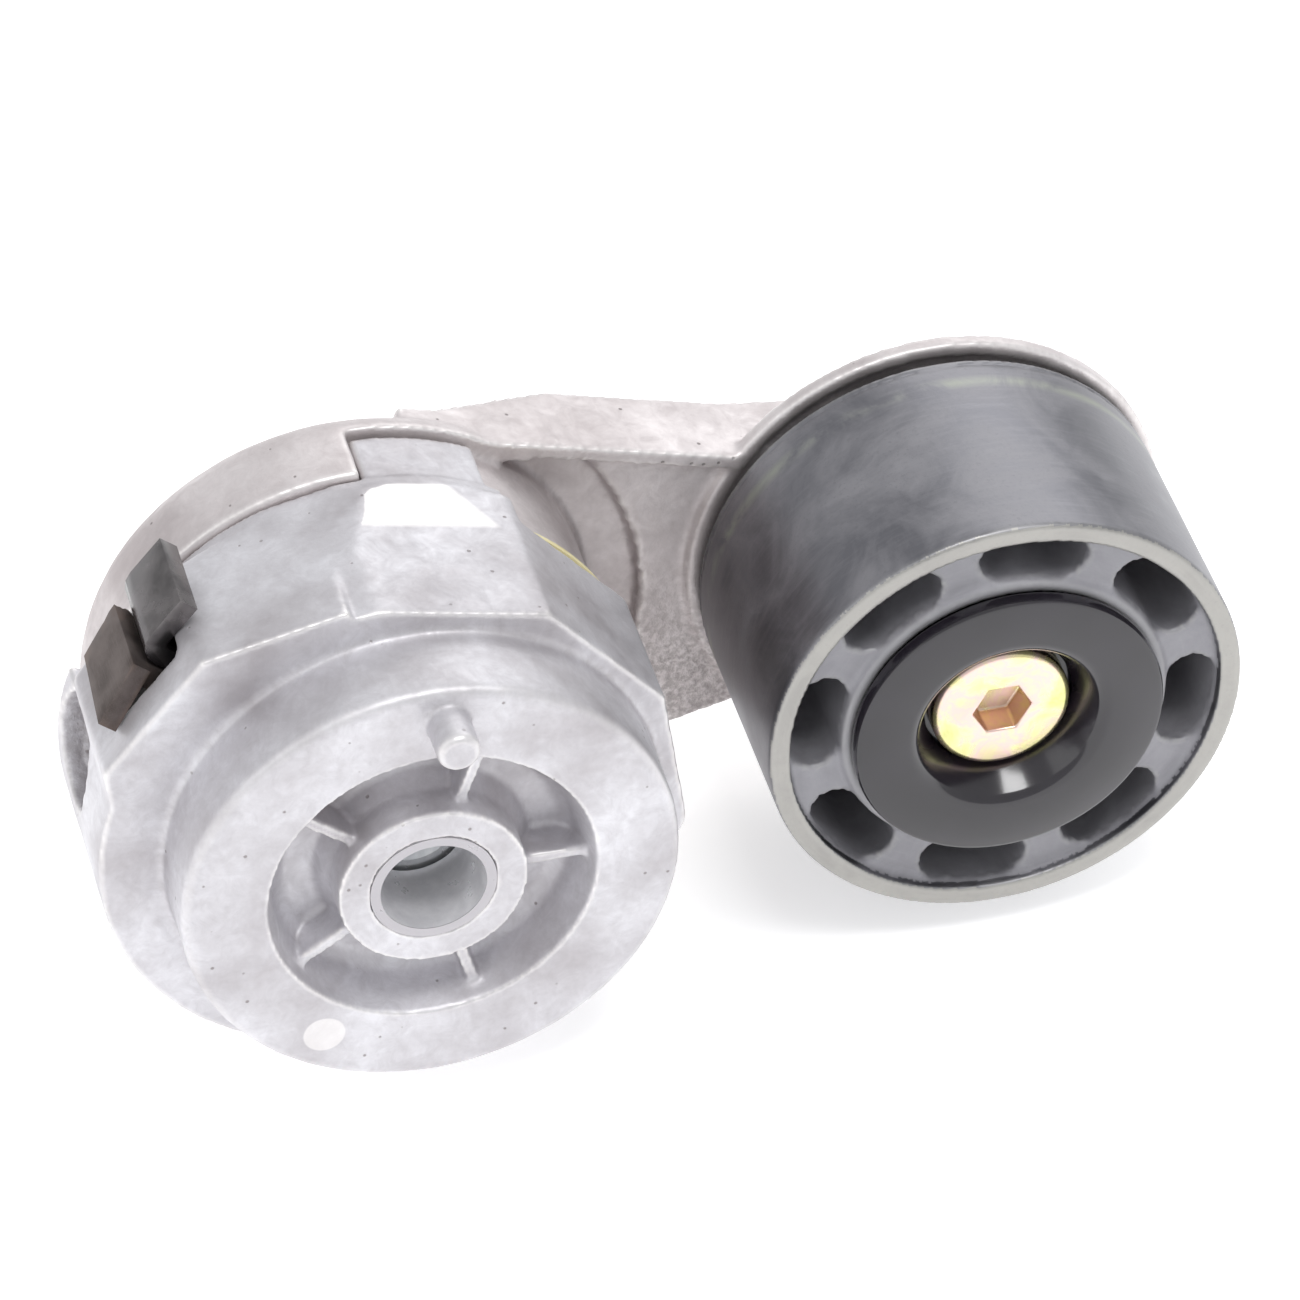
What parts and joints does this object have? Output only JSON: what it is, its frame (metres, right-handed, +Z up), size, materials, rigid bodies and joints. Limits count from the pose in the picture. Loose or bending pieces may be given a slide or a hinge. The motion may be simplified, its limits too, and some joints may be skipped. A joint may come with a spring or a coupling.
{
  "type": "belt tensioner with idler pulley",
  "caption": "Spring-loaded belt tensioner: a cast spring case with a mounting face and locating pin, a sprung cast arm, and a smooth idler pulley on ball bearings.",
  "frame": {"origin": "centre of the mounting face, on the pivot axis, where the pilot bush's bore opens", "axes": "-Y out of the mounting face along the pivot axis, +X from the pivot to the pulley axis with the arm at its free stop, +Z up across the arm"},
  "size_m": [0.1768, 0.0785, 0.0861],
  "materials": {
    "cast_aluminium": "die cast, tumbled",
    "arm_aluminium": "die cast, tumbled",
    "zinc_plated_steel": "bright zinc plate",
    "plain_steel": "oiled",
    "bearing_steel": "ground",
    "spring_steel": "black oxide",
    "sheared_steel": "black oxide, sheared",
    "pulley_steel": "phosphated",
    "black_shield": "gloss black",
    "yellow_zinc_bolt": "yellow chromate",
    "nylon": "natural",
    "bronze_bushing": "sintered",
    "brass_cage": "pressed",
    "seal_rubber": "moulded"
  },
  "bodies": {
    "case": {"spring_case": "cast_aluminium", "pilot_bush": "zinc_plated_steel", "pivot_tube": "zinc_plated_steel", "spring_liner": "nylon", "torsion_spring": "spring_steel", "spring_keeper": "sheared_steel", "spring_plate": "plain_steel", "damping_shoe": "nylon", "thrust_washer": "nylon", "friction_disc": "nylon", "retaining_plate": "zinc_plated_steel"},
    "arm": {"tensioner_arm": "arm_aluminium", "pivot_bushing_front": "bronze_bushing", "pivot_bushing_rear": "bronze_bushing", "threaded_insert": "plain_steel", "rear_spacer": "zinc_plated_steel", "rear_shield": "black_shield", "bearing_sleeve": "plain_steel", "bearing_inner_front": "bearing_steel", "bearing_inner_rear": "bearing_steel", "dust_shield": "black_shield", "pulley_bolt": "yellow_zinc_bolt"},
    "idler": {"pulley": "pulley_steel", "bearing_outer_front": "bearing_steel", "bearing_outer_rear": "bearing_steel", "seal_front": "seal_rubber", "seal_rear": "seal_rubber", "snap_ring": "plain_steel"},
    "ball_sets": {"balls_front": "bearing_steel", "balls_rear": "bearing_steel", "cage_front": "brass_cage", "cage_rear": "brass_cage"}
  },
  "joints": [
    {"name": "arm_pivot", "type": "hinge", "parent": "case", "child": "arm", "pos_m": [0, 0.045, 0], "axis": [0, -1, 0], "range_deg": [0, 55], "stiffness_Nm_per_rad": 20, "springref_deg": -85.94, "deforming": ["torsion_spring"]},
    {"name": "pulley_spin", "type": "hinge", "parent": "arm", "child": "idler", "pos_m": [0.0918, 0.0347, 0], "axis": [0, -1, 0], "continuous": true},
    {"name": "ball_set_spin", "type": "hinge", "parent": "arm", "child": "ball_sets", "pos_m": [0.0918, 0.0347, 0], "axis": [0, -1, 0], "continuous": true}
  ],
  "couplings": [
    {"joint": "ball_set_spin", "follows": "pulley_spin", "ratio": 0.6344}
  ]
}
